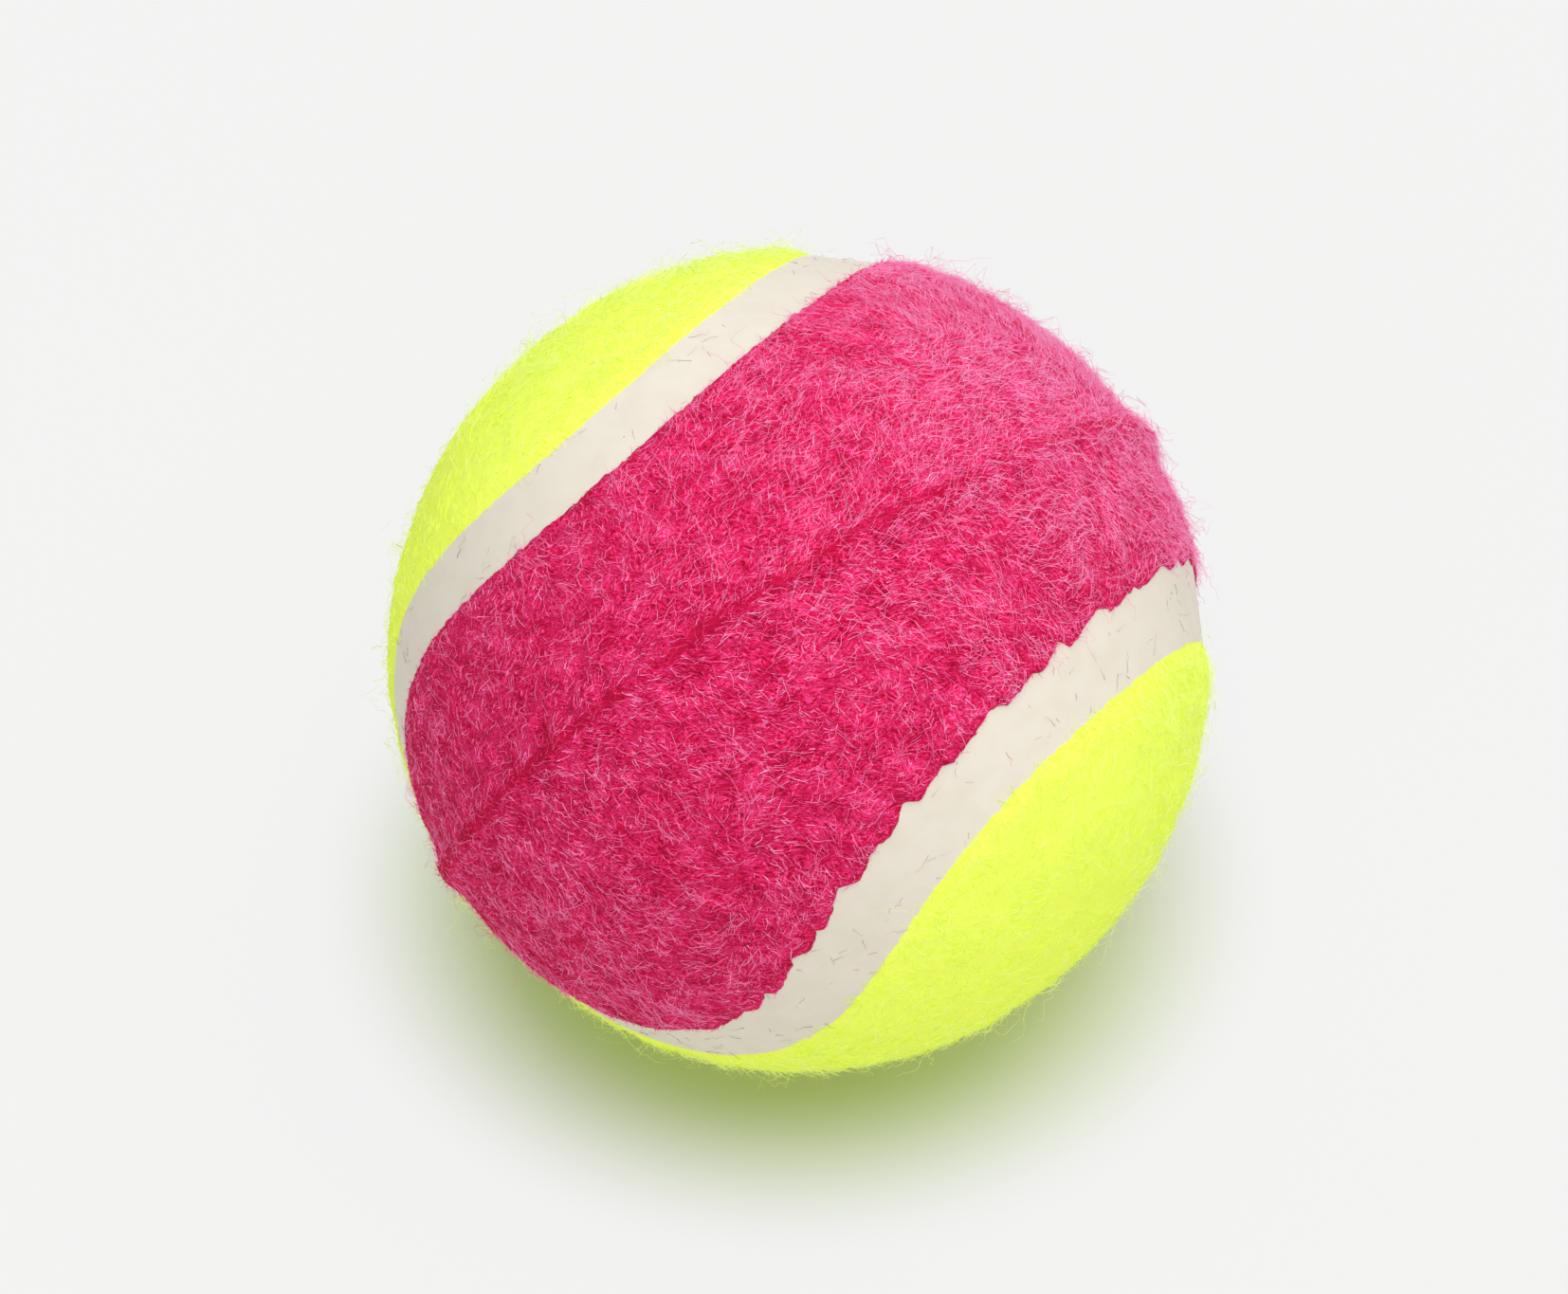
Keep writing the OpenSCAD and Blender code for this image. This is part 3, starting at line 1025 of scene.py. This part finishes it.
pinkGroundLook = feltGround({
    "name": "pink felt ground", "depth": 1.0, "blotch": 0.25, "clump": 0.1, "creased": True,
    "stops": [
        (0.48, (0.3, 0.0005, 0.018)), (0.6, (0.75, 0.004, 0.08)),
        (0.74, (1.0, 0.06, 0.28)), (0.88, (1.0, 0.3, 0.6)),
    ],
})
pinkFibreLook = feltFibre({
    "name": "pink nap", "blotch": 0.8, "clump": 1.1, "creased": True, "glow": pinkPaintedGlow,
    "stops": [
        (0.0, (0.38, 0.001, 0.035)), (0.28, (0.88, 0.008, 0.14)), (0.6, (1.0, 0.08, 0.35)),
        (0.8, (1.0, 0.29, 0.63)), (1.0, (1.0, 0.58, 0.88)),
    ],
})
pinkHazeLook = feltFibre({
    "name": "pink fuzz", "blotch": 0.5, "clump": 0.6, "creased": True, "glow": pinkPaintedGlow,
    "stops": [(0.0, (1.0, 0.12, 0.38)), (0.5, (1.0, 0.3, 0.64)), (1.0, (1.0, 0.6, 0.88))],
})
yellowGroundLook = feltGround({
    "name": "yellow felt ground", "depth": 0.3, "blotch": 0.15, "clump": 0.1, "creased": False,
    "glow": yellowPaintedGlow,
    "stops": [(0.45, (0.74, 0.88, 0.06)), (0.6, (0.81, 0.93, 0.12)), (0.8, (0.87, 0.95, 0.2))],
})
yellowFibreLook = feltFibre({
    "name": "yellow nap", "blotch": 0.3, "clump": 0.4, "creased": False, "glow": yellowPaintedGlow,
    "stops": [(0.0, (0.74, 0.88, 0.07)), (0.6, (0.82, 0.93, 0.15)), (1.0, (0.88, 0.95, 0.3))],
})
yellowHazeLook = feltFibre({
    "name": "yellow fuzz", "blotch": 0.3, "clump": 0.4, "creased": False, "glow": yellowPaintedGlow,
    "stops": [(0.0, (0.82, 0.93, 0.2)), (0.5, (0.86, 0.94, 0.38)), (1.0, (0.9, 0.95, 0.62))],
})
lintLook = feltFibre({
    "name": "loose fibres", "blotch": 0.2, "clump": 0.2, "creased": False,
    "stops": [
        (0.0, (0.12, 0.1, 0.08)), (0.3, (0.45, 0.4, 0.33)),
        (0.6, (0.6, 0.55, 0.45)), (0.8, (0.6, 0.16, 0.25)),
    ],
})
print("felt dyed")

# kinds of nap, in metres and radians
matNap = {  # short strands pressed flat
    "Length": 0.00095, "Length Spread": 0.35, "Thickness": 0.000108, "Rise": 0.2, "Sink": 0.00008,
    "Stray": 0.9, "Curl": 1.0, "Curl Size": 0.0009, "Points": 3, "Droop": 0.8, "Uneven": 0.0,
}
topNap = {  # longer, finer strands over them
    "Length": 0.0013, "Length Spread": 0.4, "Thickness": 0.000092, "Rise": 0.3, "Sink": 0.00008,
    "Stray": 0.9, "Curl": 1.2, "Curl Size": 0.001, "Points": 4, "Droop": 0.75, "Uneven": 0.3,
}
haze = {  # fine pale ends that stand off the surface
    "Length": 0.0014, "Length Spread": 0.5, "Thickness": 0.00005, "Rise": 0.75, "Sink": 0.00006,
    "Stray": 1.1, "Curl": 1.0, "Curl Size": 0.0012, "Points": 4, "Droop": 0.5, "Uneven": 1.0,
}
fuzz = {  # a few long stray hairs
    "Length": 0.003, "Length Spread": 0.6, "Thickness": 0.00005, "Rise": 0.75, "Sink": 0.00008,
    "Stray": 3.1, "Curl": 1.3, "Curl Size": 0.0018, "Points": 9, "Droop": 0.45, "Uneven": 0.7,
}
lint = {  # loose fibres that lie on the seam
    "Length": 0.0012, "Length Spread": 0.65, "Thickness": 0.000045, "Rise": 0.06, "Sink": -0.00003,
    "Stray": 3.1, "Curl": 1.3, "Curl Size": 0.0012, "Points": 6, "Droop": 1.0, "Uneven": 0.0,
    "Density": 1.3e5, "Seed": 61,
}
pinkNap = {
    "firstSeed": 20,
    "changes": {},
    "layers": [  # name, kind, material, strands per square metre
        ("Mat1", matNap, pinkFibreLook, 2.4e6), ("Mat2", matNap, pinkFibreLook, 2.4e6),
        ("Mat3", matNap, pinkFibreLook, 2.4e6), ("Top1", topNap, pinkFibreLook, 1.5e6),
        ("Top2", topNap, pinkFibreLook, 1.5e6), ("Haze1", haze, pinkHazeLook, 1.3e6),
        ("Haze2", haze, pinkHazeLook, 1.3e6), ("Fuzz", fuzz, pinkHazeLook, 1.5e5),
    ],
}
yellowNap = {
    "firstSeed": 40,
    "changes": {"Sink": 0.00001},
    "layers": [
        ("Mat", matNap, yellowFibreLook, 1.3e6), ("Top", topNap, yellowFibreLook, 1.0e6),
        ("Haze", haze, yellowHazeLook, 1.6e6), ("Fuzz", fuzz, yellowHazeLook, 1.7e5),
    ],
}


def growLayers(panelName, ground, nap):
    pieces = []
    for k, (label, kind, look, density) in enumerate(nap["layers"]):
        values = dict(kind, Density=density, Seed=nap["firstSeed"] + k, **nap["changes"])
        pieces.append(growNap(panelName + label, ground, values, look))
    return pieces


pinkLayers = growLayers("pink", pinkGround, pinkNap)
yellowLayers = growLayers("yellow", yellowGround, yellowNap)
seamLint = growNap("seamLint", seamGround, lint, lintLook)
for ground in (pinkGround, yellowGround, seamGround):
    bpy.data.objects.remove(ground)

# rubber of the seam and of the pieces inside
rubber = {
    "seam": {
        "name": "seam rubber", "surface": {"Roughness": 0.5, "Specular IOR Level": 0.35},
        "mottle": (420.0, 6.0, 0.0),  # scale, detail and distortion
        "stops": [(0.3, (0.82, 0.753, 0.637)), (0.5, (0.845, 0.78, 0.67)), (0.7, (0.86, 0.798, 0.69))],
        "grain": (1300.0, 4.0, 0.0), "depth": 0.25, "bump": 0.00012,
    },
    "core": {
        "name": "core rubber", "surface": {"Roughness": 0.7},
        "mottle": (420.0, 5.0, 0.6),
        "stops": [(0.3, (0.055, 0.05, 0.048)), (0.7, (0.1, 0.092, 0.088))],
        "grain": (420.0, 5.0, 0.6), "depth": 0.3, "bump": 0.0002,
    },
    "cement": {
        "name": "rubber cement", "surface": {"Roughness": 0.35},
        "mottle": (180.0, 5.0, 0.6),
        "stops": [(0.3, (0.46, 0.36, 0.18)), (0.7, (0.58, 0.48, 0.28))],
        "grain": (180.0, 5.0, 0.6), "depth": 0.5, "bump": 0.0002,
    },
}
innerPieces = {
    "core_half_top": "core", "core_half_bottom": "core", "core_joint_cement": "cement",
    "core_coat": "cement", "pink_backing": "cement", "yellow_backing": "cement",
}


def rubberLook(look):
    material, tree, shader = newMaterial(look["name"], look["surface"])
    colour = ramp(tree, textureAt(tree, *look["mottle"]), look["stops"])
    tree.links.new(colour, shader.inputs["Base Color"])
    bumpFrom(tree, shader, textureAt(tree, *look["grain"]), look["depth"], look["bump"])
    return material


rubberLooks = {label: rubberLook(look) for label, look in rubber.items()}
for label, kind in innerPieces.items():
    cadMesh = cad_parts[label].data
    cadMesh.materials.clear()
    cadMesh.materials.append(rubberLooks[kind])
print("inner pieces dressed")

pinkFelt.data.materials.append(pinkGroundLook)
yellowFelt.data.materials.append(yellowGroundLook)
seamBand.data.materials.append(rubberLooks["seam"])

for piece in [pinkFelt, yellowFelt, seamBand, seamLint] + pinkLayers + yellowLayers:
    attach(piece, "root")
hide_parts("pink_felt")
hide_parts("yellow_felt")
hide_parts("seam_rubber")

bpy.context.scene.view_settings.view_transform = "Standard"
